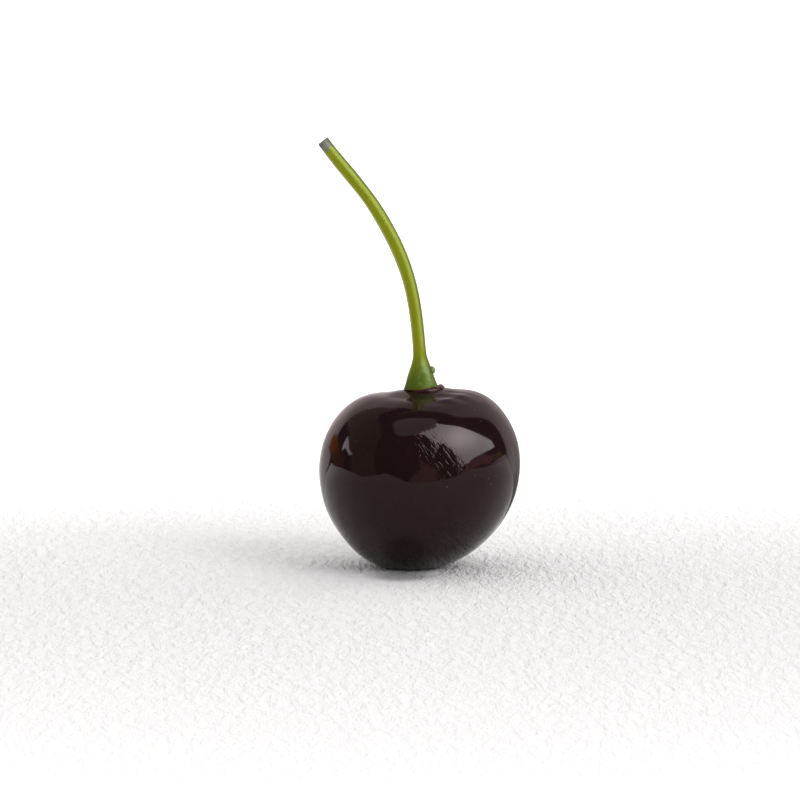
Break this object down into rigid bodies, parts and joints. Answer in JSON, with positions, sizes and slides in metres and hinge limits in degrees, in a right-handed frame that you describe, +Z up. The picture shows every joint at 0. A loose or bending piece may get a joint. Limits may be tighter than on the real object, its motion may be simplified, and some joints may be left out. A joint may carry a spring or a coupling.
{
  "type": "cherry",
  "caption": "Decorative black cherry: one glossy round fruit on a small flat spot, with a curved green stem standing on a flared foot.",
  "frame": {"origin": "centre of the flat spot that the fruit rests on", "axes": "+Z up, -X towards the side that the stem bends to, +Y to the back"},
  "size_m": [0.0199, 0.02, 0.0428],
  "materials": {
    "skin": "near-black maroon lacquer, wet gloss, faintly rippled",
    "stem": "olive green, satin, greener at the flared foot and grey at the cut tip"
  },
  "bodies": {
    "root": {"fruit": "skin", "stem": "stem"}
  },
  "joints": []
}
